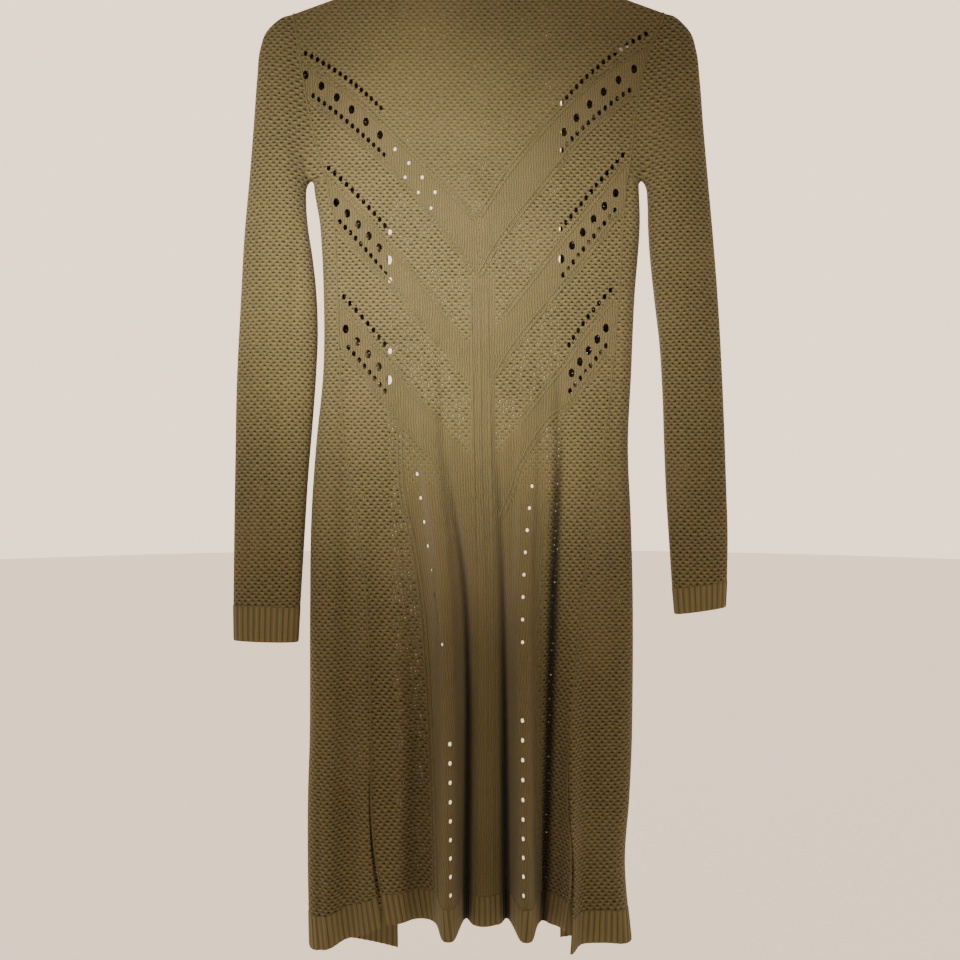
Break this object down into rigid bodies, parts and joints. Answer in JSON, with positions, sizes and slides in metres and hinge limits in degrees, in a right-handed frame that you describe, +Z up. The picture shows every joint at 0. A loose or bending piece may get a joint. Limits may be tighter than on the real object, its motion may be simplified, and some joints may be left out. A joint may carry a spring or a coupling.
{
  "type": "long open-front cardigan on a hanger",
  "caption": "Long olive open-front knitted cardigan with chevron lace bands, ribbed cuffs and hem, hanging by its shoulders on a white tubular hanger.",
  "frame": {"origin": "top of the inside of the hanger's hook, where a rail or a wall hook holds it", "axes": "+Z up, -Y out of the garment's back towards the viewer, +X to the viewer's right"},
  "size_m": [0.5357, 0.0814, 1.2038],
  "materials": {
    "olive_knit": "matt knitted yarn in a tuck and lace stitch",
    "olive_rib": "matt ribbed knitting",
    "white_plastic": "smooth moulded plastic, slightly glossy"
  },
  "bodies": {
    "root": {"back_panel": "olive_knit", "front_left": "olive_knit", "front_right": "olive_knit", "sleeve_left": "olive_knit", "sleeve_right": "olive_knit", "hem_back": "olive_rib", "hem_front_left": "olive_rib", "hem_front_right": "olive_rib", "cuff_left": "olive_rib", "cuff_right": "olive_rib", "hanger": "white_plastic"}
  },
  "joints": []
}
